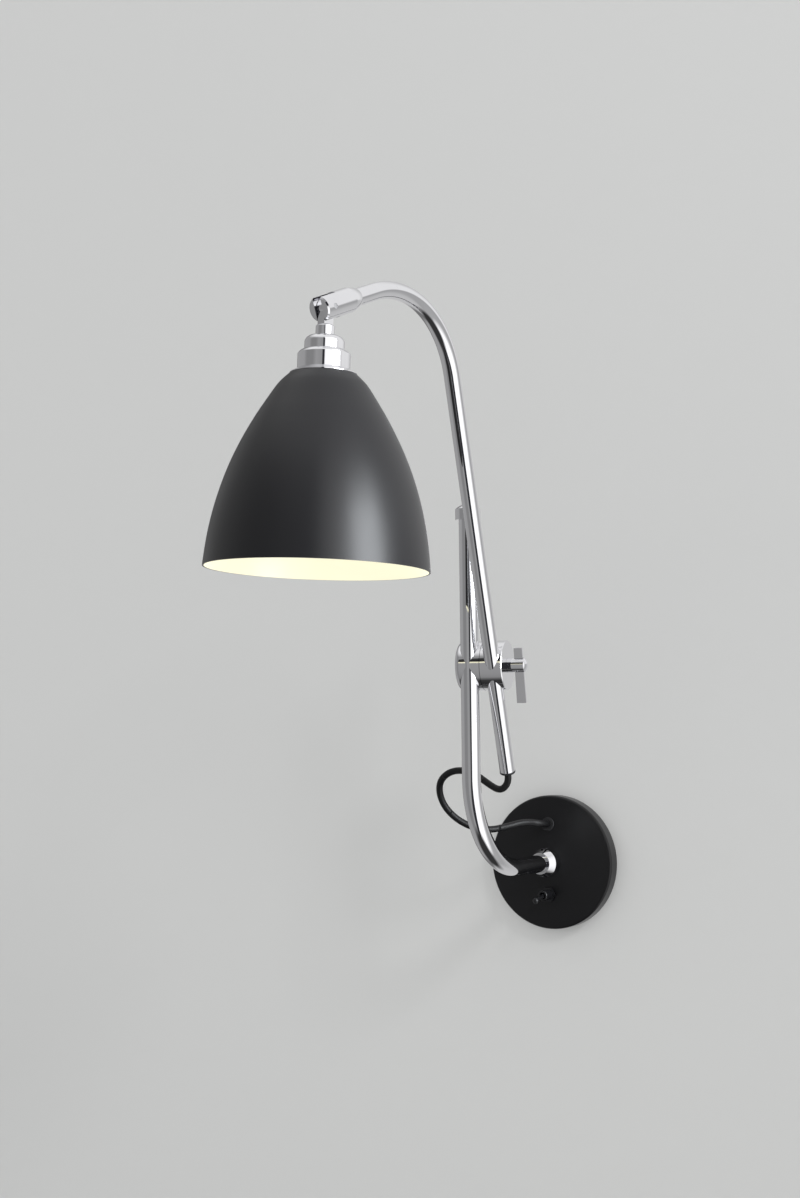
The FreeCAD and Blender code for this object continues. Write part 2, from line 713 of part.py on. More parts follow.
# --- upright ------------------------------------------------------------------

keep(
    bent(
        "upright",
        seat_r,
        seat_r - S.upright_wall,
        S.stand_off - S.upright_bend - S.tube_insert,
        S.upright_bend,
        Size.of(90),
        S.upright_top - S.upright_bend,
    ),
    "upright_tube",
    frame(OUT * float(S.tube_insert), OUT, UP),
)
cap_top = S.cap_side + S.cap_dome
cap_r = S.cap_d / 2
cap_dome_r = (cap_r * cap_r + S.cap_dome * S.cap_dome) / (2 * S.cap_dome)
keep(
    turned("cap", [
        (seat_r, 0),
        (cap_r, 0),
        (cap_r, S.cap_side, -rise(cap_dome_r, (cap_r, S.cap_side), (0, cap_top))),
        (0, cap_top),
        (0, S.upright_top - S.cap_low),
        (seat_r, S.upright_top - S.cap_low),
    ]),
    "upright_cap",
    frame(Vector(0, -float(S.stand_off), float(S.cap_low)), UP, RIGHT),
)


def pad(name, tube_r, label, placement):
    """A curved friction pad on the side of a tube away from local X, in the clamp's groove."""
    ring = turned(name + "_ring", [
        (tube_r + gap, -S.pad_len / 2),
        (tube_r + gap + S.pad_wall, -S.pad_len / 2),
        (tube_r + gap + S.pad_wall, S.pad_len / 2),
        (tube_r + gap, S.pad_len / 2),
    ])
    opening = block(name + "_opening", (30, 40, 40), (-S.pad_start, -20, -20))
    return keep(cut(name + "_part", ring, [opening]), label, placement)


def bored(name, blank, tube_r, offset, along):
    """Half of the clamp with its tube's hole and the part-round groove for the friction pad."""
    groove_len = S.pad_len + 2 * gap
    groove_r = tube_r + 2 * gap + S.pad_wall
    hole = rod(name + "_hole", tube_r + gap, 60, (-30, offset, along), (1, 0, 0), 120)
    groove = rod(
        name + "_groove", groove_r, groove_len, (-groove_len / 2, offset, along), (1, 0, 0), 150
    )
    groove.Angle = 240
    return cut(name + "_part", cut(name + "_bored", blank, [hole]), [groove])


pad("slide", seat_r, "upright_pad", frame(upright_at_clamp, UP, clamp_out))

# --- clamp --------------------------------------------------------------------

clamp_r = S.clamp_d / 2
half_gap = S.seam_gap / 2
screw_r = S.screw_d / 2
seam_r = S.seam_washer_d / 2
left_blank = turned("left_blank", [
    (0, -S.clamp_left),
    (clamp_r - S.clamp_round, -S.clamp_left, -quarter(S.clamp_round)),
    (clamp_r, -S.clamp_left + S.clamp_round),
    (clamp_r, -half_gap),
    (screw_r + gap, -half_gap),
    (screw_r + gap, -S.screw_len - 1),
    (0, -S.screw_len - 1),
])
left_half = bored("left", left_blank, seat_r, S.upright_offset, -S.tube_spacing / 2)
keep(left_half, "clamp_body", clamp_frame)
seam = turned("seam", [
    (screw_r + gap, -half_gap),
    (seam_r, -half_gap),
    (seam_r, half_gap),
    (screw_r + gap, half_gap),
])
keep(seam, "seam_washer", clamp_frame)

arm_r = S.arm_d / 2
right_blank = turned("right_blank", [
    (screw_r + gap, half_gap),
    (clamp_r, half_gap),
    (clamp_r, S.clamp_right - S.clamp_edge),
    (clamp_r - S.clamp_edge, S.clamp_right),
    (screw_r + gap, S.clamp_right),
])
right_half = bored("right", right_blank, arm_r, S.arm_offset, S.tube_spacing / 2)
keep(right_half, "clamp_jaw", jaw_frame)
pad("twist", arm_r, "arm_pad", frame(arm_at_clamp, arm_axis, arm_out))

# Tightening screw, its washer and its crossbar.
head_low = S.clamp_right + S.knob_washer
knob_r = S.knob_d / 2
knob_side_top = head_low + S.knob_side
knob_dome_r = (knob_r * knob_r + S.knob_dome * S.knob_dome) / (2 * S.knob_dome)
screw_blank = turned("screw_blank", [
    (0, -S.screw_len),
    (screw_r, -S.screw_len),
    (screw_r, head_low),
    (knob_r, head_low),
    (knob_r, knob_side_top, -rise(knob_dome_r, (knob_r, knob_side_top), (0, knob_side_top + S.knob_dome))),
    (0, knob_side_top + S.knob_dome),
])
key_middle = S.clamp_right + S.key_place
key_dir = turned_by(float(S.key_turn), clamp_axis, UP)
tight_frame = frame(clamp_centre, clamp_axis, key_dir)
slot_wid = S.key_wid_low
key_slot = block(
    "key_slot",
    (30, S.key_thk, slot_wid),
    (-15, -S.key_thk / 2, key_middle - slot_wid / 2),
)
keep(cut("screw_part", screw_blank, [key_slot]), "clamp_screw", tight_frame)
keep(
    turned("knob_washer_ring", [
        (screw_r + gap, S.clamp_right + gap),
        (knob_r + 0.1, S.clamp_right + gap),
        (knob_r + 0.1, head_low),
        (screw_r + gap, head_low),
    ]),
    "screw_washer",
    tight_frame,
)
keep(
    plate_cut("key", [
        (S.key_up, S.key_wid_top / 2, 0.2),
        (S.key_up, -S.key_wid_top / 2),
        (-S.key_down, -S.key_wid_low / 2, 0.2),
        (-S.key_down, S.key_wid_low / 2),
    ], S.key_thk),
    "tightening_bar",
    frame(clamp_centre + clamp_axis * float(key_middle), key_dir.cross(clamp_axis), key_dir),
)

# --- arm and knuckle ----------------------------------------------------------

keep(
    bent(
        "arm",
        arm_r,
        arm_r - S.arm_wall,
        S.arm_below + S.arm_above,
        S.arm_bend,
        S.arm_sweep,
        S.arm_tail + S.arm_insert,
    ),
    "arm_tube",
    arm_frame,
)
plug_r = arm_r - S.arm_wall
keep(
    turned("end_bush", [
        (cord_r + gap, -S.arm_bush_lip),
        (arm_r - 0.9, -S.arm_bush_lip, -quarter(Size.of(1))),
        (arm_r + 0.1, -S.arm_bush_lip + 1),
        (arm_r + 0.1, 0),
        (plug_r, 0),
        (plug_r, S.arm_bush_in),
        (cord_r + gap, S.arm_bush_in),
    ]),
    "arm_end_bush",
    arm_frame,
)
inside_len = S.arm_bush_lip + S.arm_bush_in + 4
keep(
    rod("inside_cord", cord_r, inside_len),
    "arm_inner_cord",
    arm_frame.multiply(Placement(Vector(0, 0, -float(S.arm_bush_lip)), Rotation())),
)

barrel_r = S.knuckle_d / 2
cone_r = S.knuckle_cone_d / 2
keep(
    turned("rear_cone", [
        (arm_r, 0),
        (cone_r - 0.3, 0),
        (cone_r, 0.3, -0.35),
        (barrel_r - 0.2, S.knuckle_cone - 0.3),
        (barrel_r - 0.2, S.knuckle_cone),
        (arm_r, S.knuckle_cone),
    ]),
    "knuckle_cone",
    knuckle_frame,
)
slot_floor = S.knuckle_len - S.slot_depth
wire_r = S.shank_bore / 2
barrel_blank = turned("barrel_blank", [
    (arm_r, S.knuckle_cone),
    (barrel_r - 0.2, S.knuckle_cone),
    (barrel_r, S.knuckle_cone + 0.2),
    (barrel_r, S.knuckle_len - 1),
    (barrel_r - 1, S.knuckle_len),
    (0, S.knuckle_len),
    (0, slot_floor - 2),
    (wire_r + 0.8, slot_floor - 2),
    (wire_r + 0.8, S.arm_insert),
    (arm_r, S.arm_insert),
])
pin_height = S.knuckle_len - S.pin_in
slot = block(
    "slot",
    (S.knuckle_slot, 40, S.slot_depth + 5),
    (-S.knuckle_slot / 2, -20, slot_floor),
)
slot_wires = rod("slot_wires", wire_r, 10, (0, 0, slot_floor - 5))
pin_hole = rod("pin_hole", S.pin_d / 2, 40, (-20, 0, pin_height), (1, 0, 0))
keep(cut("barrel_part", barrel_blank, [slot, slot_wires, pin_hole]), "knuckle_barrel", knuckle_frame)
pin_len = S.knuckle_d - 0.6
keep(
    rod("pin", S.pin_d / 2, pin_len),
    "knuckle_pin",
    frame(hinge_pin - pin_axis * float(pin_len / 2), pin_axis, knuckle_axis),
)
washer_in = S.tongue_thk / 2 + gap
washer_out = S.knuckle_slot / 2
washers = []
for i, low in enumerate((washer_in, -washer_out)):
    washers.append(turned(f"pin_washer_{i}", [
        (S.pin_d / 2, low),
        (4.4, low),
        (4.4, low + washer_out - washer_in),
        (S.pin_d / 2, low + washer_out - washer_in),
    ]))
keep(joined("washers_part", washers), "knuckle_washers", frame(hinge_pin, pin_axis, knuckle_axis))

# --- head: heights are above the shade's lip -----------------------------------

head_rise = S.ring_len + S.skirt_len + S.holder_cap_len + S.neck_len
drop = S.shade_height + head_rise + S.neck_top
lip_frame = frame(hinge_pin - shade_axis * float(drop), shade_axis, pin_axis)
neck_high = drop - S.neck_top
cap_high = neck_high - S.neck_len
skirt_high = cap_high - S.holder_cap_len
skirt_low = skirt_high - S.skirt_len
shank_r = S.shank_d / 2
wall = S.holder_wall
shank_low = skirt_high - 7

tongue_head = rod(
    "tongue_head", S.tongue_head / 2, S.tongue_thk, (-S.tongue_thk / 2, 0, drop), (1, 0, 0)
)
tongue_stem = block(
    "tongue_stem",
    (S.tongue_thk, S.tongue_wid, S.neck_top),
    (-S.tongue_thk / 2, -S.tongue_wid / 2, neck_high),
)
shank = rod("shank", shank_r, neck_high - shank_low, (0, 0, shank_low))
tongue_tools = [
    rod("tongue_pin_hole", S.pin_d / 2 + gap, 20, (-10, 0, drop), (1, 0, 0)),
    rod("shank_way", S.shank_bore / 2, neck_high - shank_low - 2, (0, 0, shank_low - 1)),
]
keep(
    cut("tongue_part", joined("tongue_blank", [tongue_head, tongue_stem, shank]), tongue_tools),
    "tongue",
    lip_frame,
)
neck_radius = S.neck_d / 2
keep(
    turned("neck_piece", [
        (shank_r, cap_high),
        (neck_radius, cap_high),
        (neck_radius, neck_high - 1.6, -quarter(Size.of(1.6))),
        (neck_radius - 1.6, neck_high),
        (shank_r, neck_high),
    ]),
    "head_neck",
    lip_frame,
)
holder_cap_r = S.holder_cap_d / 2
keep(
    turned("holder_cap", [
        (shank_r, cap_high - wall),
        (shank_r, cap_high),
        (holder_cap_r - 5.4, cap_high, 1.3),
        (holder_cap_r, cap_high - 4.5),
        (holder_cap_r, skirt_high),
        (holder_cap_r - wall, skirt_high),
        (holder_cap_r - wall, cap_high - 4.8, -1.1),
        (holder_cap_r - 5.6, cap_high - wall),
    ]),
    "lampholder_cap",
    lip_frame,
)
skirt_r = S.skirt_d / 2
keep(
    turned("skirt", [
        (shank_r, skirt_high - wall),
        (shank_r, skirt_high),
        (skirt_r - 4.2, skirt_high, 0.5),
        (skirt_r, skirt_high - 3.2),
        (skirt_r, skirt_low),
        (skirt_r - wall, skirt_low),
        (skirt_r - wall, skirt_high - 3.7, -0.4),
        (skirt_r - 4.6, skirt_high - wall),
    ]),
    "lampholder_skirt",
    lip_frame,
)
locknut_blank = hexagon("locknut_blank", Size.of(14), 3.4)
locknut_blank.Placement = Placement(Vector(0, 0, float(skirt_high - wall) - 3.4), Rotation())
locknut_bore = rod("locknut_bore", shank_r, 60, (0, 0, 120))
keep(cut("locknut_part", locknut_blank, [locknut_bore]), "holder_locknut", lip_frame)

insert_r = S.holder_d / 2
insert_top = skirt_high - 3.9
insert_floor = skirt_low + 3.4
insert_low = S.shade_height - S.holder_len
keep(
    turned("insert", [
        (S.holder_bore / 2, insert_low),
        (insert_r, insert_low),
        (insert_r, insert_top - 1.4),
        (insert_r - 1.2, insert_top),
        (insert_r - 1.8, insert_top),
        (insert_r - 1.8, insert_floor + 2.5),
        (2.4, insert_floor + 2.5),
        (2.4, insert_floor),
        (S.holder_bore / 2, insert_floor),
    ]),
    "lampholder_insert",
    lip_frame,
)
contact_low = insert_floor - 1.8
keep(
    rod("contact", 2.4, 4.3),
    "centre_contact",
    lip_frame.multiply(Placement(Vector(0, 0, float(contact_low)), Rotation())),
)

crown_r = S.shade_crown_d / 2
ring_out = S.ring_d / 2
keep(
    turned("ring_piece", [
        (insert_r + gap, S.shade_height),
        (ring_out, S.shade_height),
        (ring_out, S.shade_height + 0.5),
        (skirt_r, skirt_low),
        (insert_r + gap, skirt_low),
    ]),
    "shade_ring",
    lip_frame,
)
hip_r = S.shade_hip_d / 2
lip_r = S.shade_d / 2
skin = S.shade_wall
keep(
    turned("shade_shell", [
        (insert_r + gap, S.shade_height - skin),
        (insert_r + gap, S.shade_height),
        (crown_r, S.shade_height, S.shade_shoulder_bulge),
        (hip_r, S.shade_hip, S.shade_bell_bulge),
        (lip_r, 0),
        (lip_r - skin, 0, -S.shade_bell_bulge),
        (hip_r - skin * 0.87, S.shade_hip - skin * 0.5, -S.shade_shoulder_bulge),
        (crown_r - skin * 0.5, S.shade_height - skin),
    ]),
    "shade",
    lip_frame,
)
clip_r = crown_r - 1.6
keep(
    turned("clip_ring", [
        (insert_r + gap, S.shade_height - skin - 2.6),
        (clip_r, S.shade_height - skin - 2.6),
        (clip_r, S.shade_height - skin),
        (insert_r + gap, S.shade_height - skin),
    ]),
    "shade_retaining_ring",
    lip_frame,
)

bulb_cap_r = S.bulb_cap_d / 2
bulb_top = contact_low
bulb_cap_low = bulb_top - S.bulb_cap_len
thin = Size.of(1)
keep(
    turned("bulb_cap_piece", [
        (0, bulb_top - thin),
        (0, bulb_top),
        (4.2, bulb_top),
        (bulb_cap_r, bulb_top - 3.6),
        (bulb_cap_r, bulb_cap_low),
        (bulb_cap_r - thin, bulb_cap_low),
        (bulb_cap_r - thin, bulb_top - 4.2),
        (3.9, bulb_top - thin),
    ]),
    "bulb_cap",
    lip_frame,
)
bulb_r = S.bulb_d / 2
bulb_low = bulb_top - S.bulb_len
bulb_mid = bulb_low + bulb_r
glass = S.bulb_wall
neck_glass = bulb_cap_r - thin
inner_bulb = bulb_r - glass
keep(
    turned("glass_bulb", [
        (0, bulb_low, -quarter(bulb_r)),
        (bulb_r, bulb_mid, -rise(bulb_r, (bulb_r, bulb_mid), (bulb_r * 0.8, bulb_mid + bulb_r * 0.6))),
        (bulb_r * 0.8, bulb_mid + bulb_r * 0.6),
        (neck_glass, bulb_cap_low - 8),
        (neck_glass, bulb_cap_low + 6),
        (neck_glass - glass, bulb_cap_low + 6),
        (neck_glass - glass, bulb_cap_low - 8),
        (inner_bulb * 0.8, bulb_mid + inner_bulb * 0.6, rise(
            inner_bulb, (inner_bulb * 0.8, bulb_mid + inner_bulb * 0.6), (inner_bulb, bulb_mid)
        )),
        (inner_bulb, bulb_mid, quarter(inner_bulb)),
        (0, bulb_low + glass),
    ]),
    "bulb_glass",
    lip_frame,
)

# --- cord ---------------------------------------------------------------------
# The free cord from the arm's foot to the plate, as points in the world frame. Its first and last
# points follow from the arm and the plate.

cord_out = wall_frame.multiply(cord_exit)
plate_end = cord_out.multVec(Vector(0, 0, float(lip)))
plate_way = cord_out.Rotation.multVec(Vector(0, 0, 1))
arm_end = arm_foot - arm_axis * float(S.arm_bush_lip)
ROUTE = [
    arm_end,
    arm_end - arm_axis * 7.2,
    Vector(5.3, -106.6, 67.9),
    Vector(-0.7, -106.2, 66.6),
    Vector(-9.4, -106.0, 71.2),
    Vector(-22.3, -106.0, 79.7),
    Vector(-36.0, -105.6, 83.3),
    Vector(-49.4, -104.0, 81.2),
    Vector(-59.7, -100.9, 74.1),
    Vector(-63.9, -96.0, 63.6),
    Vector(-62.3, -90.0, 51.4),
    Vector(-55.2, -83.0, 40.7),
    Vector(-44.6, -74.5, 33.0),
    Vector(-32.2, -63.5, 30.0),
    Vector(-21.9, -50.5, 32.8),
    Vector(-11.9, -37.5, 36.4),
    plate_end + plate_way * 12.0,
    plate_end,
]
STRETCHES = ["cord_first", "cord_second", "cord_third", "cord_fourth", "cord_fifth"]


def rounded_route(points):
    """The route as straight runs joined by tangent arcs; prints each arc's radius."""
    pieces = []
    last = points[0]
    radii = []
    for before, corner, after in zip(points, points[1:], points[2:]):
        back = before - corner
        ahead = after - corner
        half_turn = (math.pi - back.getAngle(ahead)) / 2
        setback = 0.45 * min(back.Length, ahead.Length)
        back.normalize()
        ahead.normalize()
        radii.append(setback / math.tan(half_turn))
        first = corner + back * setback
        second = corner + ahead * setback
        inward = (back + ahead).normalize()
        centre = corner + inward * (radii[-1] / math.cos(half_turn))
        middle = centre - inward * radii[-1]
        pieces.append((last, None, first))
        pieces.append((first, middle, second))
        last = second
    pieces.append((last, None, points[-1]))
    print("cord arc radii:", [round(r, 1) for r in radii])
    return pieces


def run_length(piece):
    start, middle, stop = piece
    if middle is None:
        return (stop - start).Length
    return Part.Arc(start, middle, stop).length()


def split_route(pieces, count):
    """Shares the pieces out into stretches of about equal length, each cut in mid-run."""
    total = sum(run_length(p) for p in pieces)
    print("cord length:", round(total, 2))
    run, middles = 0.0, {}
    for i, piece in enumerate(pieces):
        if piece[1] is None:
            middles[i] = run + run_length(piece) / 2
        run += run_length(piece)
    def shortest(cuts):
        marks = [0.0] + [middles[i] for i in cuts] + [total]
        return min(b - a for a, b in zip(marks, marks[1:]))

    cuts = max(itertools.combinations(middles, count - 1), key=shortest)
    stretches, current = [], []
    for i, piece in enumerate(pieces):
        if i in cuts:
            share = (piece[0] + piece[2]) * 0.5
            stretches.append(current + [(piece[0], None, share)])
            current = [(share, None, piece[2])]
        else:
            current.append(piece)
    return stretches + [current]


cord_pieces = split_route(rounded_route(ROUTE), len(STRETCHES))
for name, pieces in zip(STRETCHES, cord_pieces):
    edges = [
        Part.makeLine(a, b) if m is None else Part.Arc(a, m, b).toShape() for a, m, b in pieces
    ]
    spine = Part.Wire(edges)
    start, ahead = pieces[0][0], (pieces[0][2] - pieces[0][0]).normalize()
    section = Part.Wire(Part.makeCircle(float(cord_r), start, ahead))
    solid = Part.Wire(spine.Edges).makePipeShell([section], True, False)
    made = doc.addObject("Part::Feature", name)
    made.Shape = solid
    made.Placement = Placement()
    made.Label = name
    subparts.append(made)
    expected = math.pi * float(cord_r) ** 2 * spine.Length
    print(
        name,
        "length", round(spine.Length, 2),
        "volume", round(solid.Volume, 1),
        "section x length", round(expected, 1),
        "from", [round(v, 3) for v in start],
        "to", [round(v, 3) for v in pieces[-1][2]],
    )

# --- write out ----------------------------------------------------------------

doc.recompute()
faults = [o.Name for o in doc.Objects if "Invalid" in o.State or "Error" in o.State]
assert not faults, faults
os.makedirs("parts", exist_ok=True)
for made in subparts:
    assert not made.Shape.isNull() and made.Shape.isValid(), made.Label
    assert len(made.Shape.Solids) >= 1, made.Label
    made.Shape.exportStep(f"parts/{made.Label}.step")
    print(made.Label, len(made.Shape.Solids), round(made.Shape.Volume, 1))
print("sub-parts:", len(subparts))
for name, place in (
    ("clamp_centre", clamp_centre), ("clamp_axis", clamp_axis), ("arm_axis", arm_axis),
    ("arm_at_clamp", arm_at_clamp), ("arm_foot", arm_foot), ("hinge_pin", hinge_pin),
    ("pin_axis", pin_axis), ("shade_axis", shade_axis), ("knuckle_axis", knuckle_axis),
    ("knuckle_rear", knuckle_rear), ("bend_start", bend_start), ("arm_bend_side", arm_bend_side),
    ("lip_centre", lip_frame.Base),
):
    print(name, [round(v, 5) for v in place])
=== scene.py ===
# %% [markdown]
# # A wall lamp with a bell shade
# The lamp has a round black plate on the wall, a chromed upright that comes out of the plate and bends up,
# and a two-way clamp that holds a leaning arm. The arm ends in a hinge with a lampholder and a black bell
# shade. The measured parts come from the CAD model. This script makes the cord, the two bent tubes and the
# shade again as smooth meshes, gives every part its finish, and lights the lamp.

# %% Load the measured parts
import json
import math

import bmesh
import bpy
from mathutils import Matrix, Vector


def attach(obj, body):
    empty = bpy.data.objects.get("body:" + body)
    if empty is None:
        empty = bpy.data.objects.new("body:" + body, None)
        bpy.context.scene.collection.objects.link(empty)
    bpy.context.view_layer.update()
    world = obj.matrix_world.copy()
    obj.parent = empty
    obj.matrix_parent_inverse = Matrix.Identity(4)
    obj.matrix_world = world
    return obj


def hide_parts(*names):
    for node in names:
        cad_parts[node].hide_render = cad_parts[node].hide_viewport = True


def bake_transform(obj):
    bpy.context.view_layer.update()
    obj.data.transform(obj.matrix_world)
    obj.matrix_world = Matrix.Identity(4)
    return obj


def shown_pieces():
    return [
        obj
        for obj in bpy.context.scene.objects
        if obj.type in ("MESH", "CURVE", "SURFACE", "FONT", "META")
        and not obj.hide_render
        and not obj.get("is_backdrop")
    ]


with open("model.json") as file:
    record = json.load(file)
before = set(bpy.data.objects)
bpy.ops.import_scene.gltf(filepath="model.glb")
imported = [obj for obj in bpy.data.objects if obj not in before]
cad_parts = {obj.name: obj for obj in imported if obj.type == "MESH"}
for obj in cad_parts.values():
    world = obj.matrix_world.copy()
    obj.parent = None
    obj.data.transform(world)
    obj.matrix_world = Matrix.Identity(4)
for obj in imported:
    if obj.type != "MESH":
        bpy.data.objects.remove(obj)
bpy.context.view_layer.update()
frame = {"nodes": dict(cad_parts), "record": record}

scene = bpy.context.scene
nodes = frame["nodes"]

# %% [markdown]
# ## The camera
# A camera is a point, a direction and a focal length. The picture was taken from the lamp's right, a little
# below the shade, with the camera tipped up by under four degrees. The focal length is given in pixels, so it
# is turned into millimetres on Blender's 36 mm sensor, which lies along the picture's long side.

# %% Camera
picture_high = 1198
focal_pixels = 1920
sensor_mm = 36
turned, tipped, rolled = math.radians(31.056), math.radians(3.731), math.radians(0.624)
camera_place = (0.7664838, -1.5366783, 0.1225654)

ahead = Vector((-math.sin(turned) * math.cos(tipped), math.cos(turned) * math.cos(tipped), math.sin(tipped)))
level = Vector((math.cos(turned), math.sin(turned), 0))
above = level.cross(ahead)
camera_right = math.cos(rolled) * level - math.sin(rolled) * above
camera_up = math.sin(rolled) * level + math.cos(rolled) * above

camera_data = bpy.data.cameras.new("picture_camera")
camera_data.sensor_width = sensor_mm
camera_data.lens = sensor_mm * focal_pixels / picture_high
camera_data.clip_start, camera_data.clip_end = 0.05, 50
camera = bpy.data.objects.new("picture_camera", camera_data)
camera.matrix_world = (
    Matrix.Translation(camera_place)
    @ Matrix((camera_right, camera_up, -ahead)).transposed().to_4x4()
)
scene.collection.objects.link(camera)
scene.camera = camera
print("lens, mm:", round(camera_data.lens, 2))

# %% [markdown]
# ## The free cord
# The cord leaves the rubber bush at the foot of the arm, loops out to the left and goes into the plate. A
# NURBS curve treats the route's points as magnets that pull a rope towards them, so the rope never has a
# corner. The route could also be a Bezier curve, but that needs two handles for each point.

# %% The cord's route
cord_diameter = 0.0058
route = [
    (0.01119, -0.11093, 0.08106),
    (0.01054, -0.10798, 0.07453),
    (0.0053, -0.1066, 0.0679),
    (-0.0007, -0.1062, 0.0666),
    (-0.0094, -0.106, 0.0712),
    (-0.0223, -0.106, 0.0797),
    (-0.036, -0.1056, 0.0833),
    (-0.0494, -0.104, 0.0812),
    (-0.0597, -0.1009, 0.0741),
    (-0.0639, -0.096, 0.0636),
    (-0.0623, -0.09, 0.0514),
    (-0.0552, -0.083, 0.0407),
    (-0.0446, -0.0745, 0.033),
    (-0.0322, -0.0635, 0.03),
    (-0.0219, -0.0505, 0.0328),
    (-0.0119, -0.0375, 0.0364),
    (0, -0.02885, 0.0348),
    (0, -0.01691, 0.03353),
]


def nurbs_line(name, points):
    """Points along the smooth curve that these points pull, read from a NURBS spline with no thickness."""
    curve = bpy.data.curves.new(name, "CURVE")
    curve.dimensions = "3D"
    spline = curve.splines.new("NURBS")
    spline.points.add(len(points) - 1)
    for point, place in zip(spline.points, points):
        point.co = (*place, 1)
    spline.order_u = 3
    spline.use_endpoint_u = True
    spline.resolution_u = 12
    shown = bpy.data.objects.new(name, curve)
    scene.collection.objects.link(shown)
    bpy.context.view_layer.update()
    read = bpy.data.meshes.new_from_object(shown.evaluated_get(bpy.context.evaluated_depsgraph_get()))
    line = [v.co.copy() for v in read.vertices]
    bpy.data.objects.remove(shown)
    bpy.data.curves.remove(curve)
    bpy.data.meshes.remove(read)
    return line


def line_length(line):
    return sum((b - a).length for a, b in zip(line, line[1:]))


cord_line = nurbs_line("cord_route", route)
print("cord line points:", len(cord_line), "length, mm:", round(1000 * line_length(cord_line), 1))

# %% [markdown]
# ## A tube along a line
# A tube is a ring of vertices that is carried from point to point. The ring is turned by the smallest turn
# between one direction and the next, which keeps the tube from twisting. Each step is one bmesh extrusion of
# the last ring, so the wall is closed all the way and only the two ends need a cap.

# %% Rings and tubes
def add_object(name, made):
    """Links the finished bmesh as an object at the origin, with smooth faces."""
    mesh = bpy.data.meshes.new(name)
    for face in made.faces:
        face.smooth = True
    made.to_mesh(mesh)
    made.free()
    placed = bpy.data.objects.new(name, mesh)
    scene.collection.objects.link(placed)
    return placed


def only_edges(geometry):
    return [e for e in geometry if isinstance(e, bmesh.types.BMEdge)]


def grow_ring(made, edges):
    """Extrudes a ring of edges on the spot and gives back the new ring's vertices and edges."""
    grown = bmesh.ops.extrude_edge_only(made, edges=edges)["geom"]
    ring = [v for v in grown if isinstance(v, bmesh.types.BMVert)]
    open_edges = [e for e in only_edges(grown) if len(e.link_faces) == 1]
    return ring, [e for e in open_edges if e.verts[0] in ring and e.verts[1] in ring]


def tube(name, line, radius, sides=24):
    """A closed tube along a line of points, extruded ring by ring."""
    made = bmesh.new()
    way = (line[1] - line[0]).normalized()
    turn = way.to_track_quat("Z", "Y").to_matrix().to_4x4()
    first = bmesh.ops.create_circle(
        made, cap_ends=True, segments=sides, radius=radius, matrix=Matrix.Translation(line[0]) @ turn
    )
    edges = list({e for v in first["verts"] for e in v.link_edges})
    past_end = 2 * line[-1] - line[-2]
    for before, here, after in zip(line, line[1:], line[2:] + [past_end]):
        ring, edges = grow_ring(made, edges)
        new_way = (after - before).normalized()
        swing = way.rotation_difference(new_way).to_matrix()
        bmesh.ops.translate(made, verts=ring, vec=here - before)
        bmesh.ops.rotate(made, verts=ring, cent=here, matrix=swing)
        way = new_way
    bmesh.ops.contextual_create(made, geom=edges)
    bmesh.ops.recalc_face_normals(made, faces=made.faces)
    return add_object(name, made)


# %% [markdown]
# ## Five stretches of cord
# The lamp has five joints between the arm and the wall, and each piece can bend with only one of them. So the
# cord is cut into five stretches that start where the last one ended. The table lists each stretch with the
# body on the wall's side of its joint and the body on the arm's side.

# %% The cord's five stretches
joints_on_cord = {
    "cord_first": ("sleeve", "arm"),
    "cord_second": ("jaw", "sleeve"),
    "cord_third": ("clamp", "jaw"),
    "cord_fourth": ("slider", "clamp"),
    "cord_fifth": ("wall_part", "slider"),
}
stretch_ends = [
    (-0.01504, -0.106, 0.07491),
    (-0.05465, -0.10242, 0.07758),
    (-0.05885, -0.0866, 0.0462),
    (-0.02705, -0.057, 0.0314),
]


def nearest_mark(end):
    """The number of the cord's point that is nearest to this place."""
    return min(range(len(cord_line)), key=lambda i: (cord_line[i] - Vector(end)).length)


marks = [0, *[nearest_mark(end) for end in stretch_ends], len(cord_line) - 1]
cords = {}
for (name, (held, free)), first, last in zip(joints_on_cord.items(), marks, marks[1:]):
    line = cord_line[first : last + 1]
    piece = tube(name + "_sheath", line, cord_diameter / 2)
    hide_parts(name)
    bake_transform(piece)
    cords[name] = piece

# %% [markdown]
# ## The two chromed tubes
# Polished chrome shows every flat in a surface, so the two tubes are made again with far more sides than the
# CAD export has. Each is a ring that is pushed along its first straight run, spun round the bend's centre and
# pushed along its last run. The bore is a second, smaller tube, and the open ends are bridged between them.

# %% Bent tubes
bend_steps = 60


def push(made, edges, step):
    """Extrudes a ring of edges along a step and gives back the new ring's edges."""
    ring, edges = grow_ring(made, edges)
    bmesh.ops.translate(made, verts=ring, vec=step)
    return edges


def bent_pipe(name, start, way, first_run, side, bend_radius, sweep, last_run, radius, wall, sides=72):
    """A round tube: a straight run, one bend towards the side vector, and a second straight run."""
    way, side = Vector(way).normalized(), Vector(side).normalized()
    axis = way.cross(side)
    centre = Vector(start) + way * first_run + side * bend_radius
    last_way = math.cos(sweep) * way + math.sin(sweep) * side
    place = Matrix.Translation(start) @ way.to_track_quat("Z", "Y").to_matrix().to_4x4()
    made = bmesh.new()
    shells = []
    for size in (radius, radius - wall):
        first = bmesh.ops.create_circle(made, segments=sides, radius=size, matrix=place)["verts"]
        start_ring = list({e for v in first for e in v.link_edges})
        edges = push(made, start_ring, way * first_run)
        spun = bmesh.ops.spin(made, geom=edges, cent=centre, axis=axis, angle=sweep, steps=bend_steps)
        edges = push(made, only_edges(spun["geom_last"]), last_way * last_run)
        shells.append((start_ring, edges))
    for outer_rim, inner_rim in zip(*shells):
        for edge in outer_rim + inner_rim:
            edge.smooth = False
        bmesh.ops.bridge_loops(made, edges=outer_rim + inner_rim)
    bmesh.ops.recalc_face_normals(made, faces=made.faces)
    return add_object(name, made)


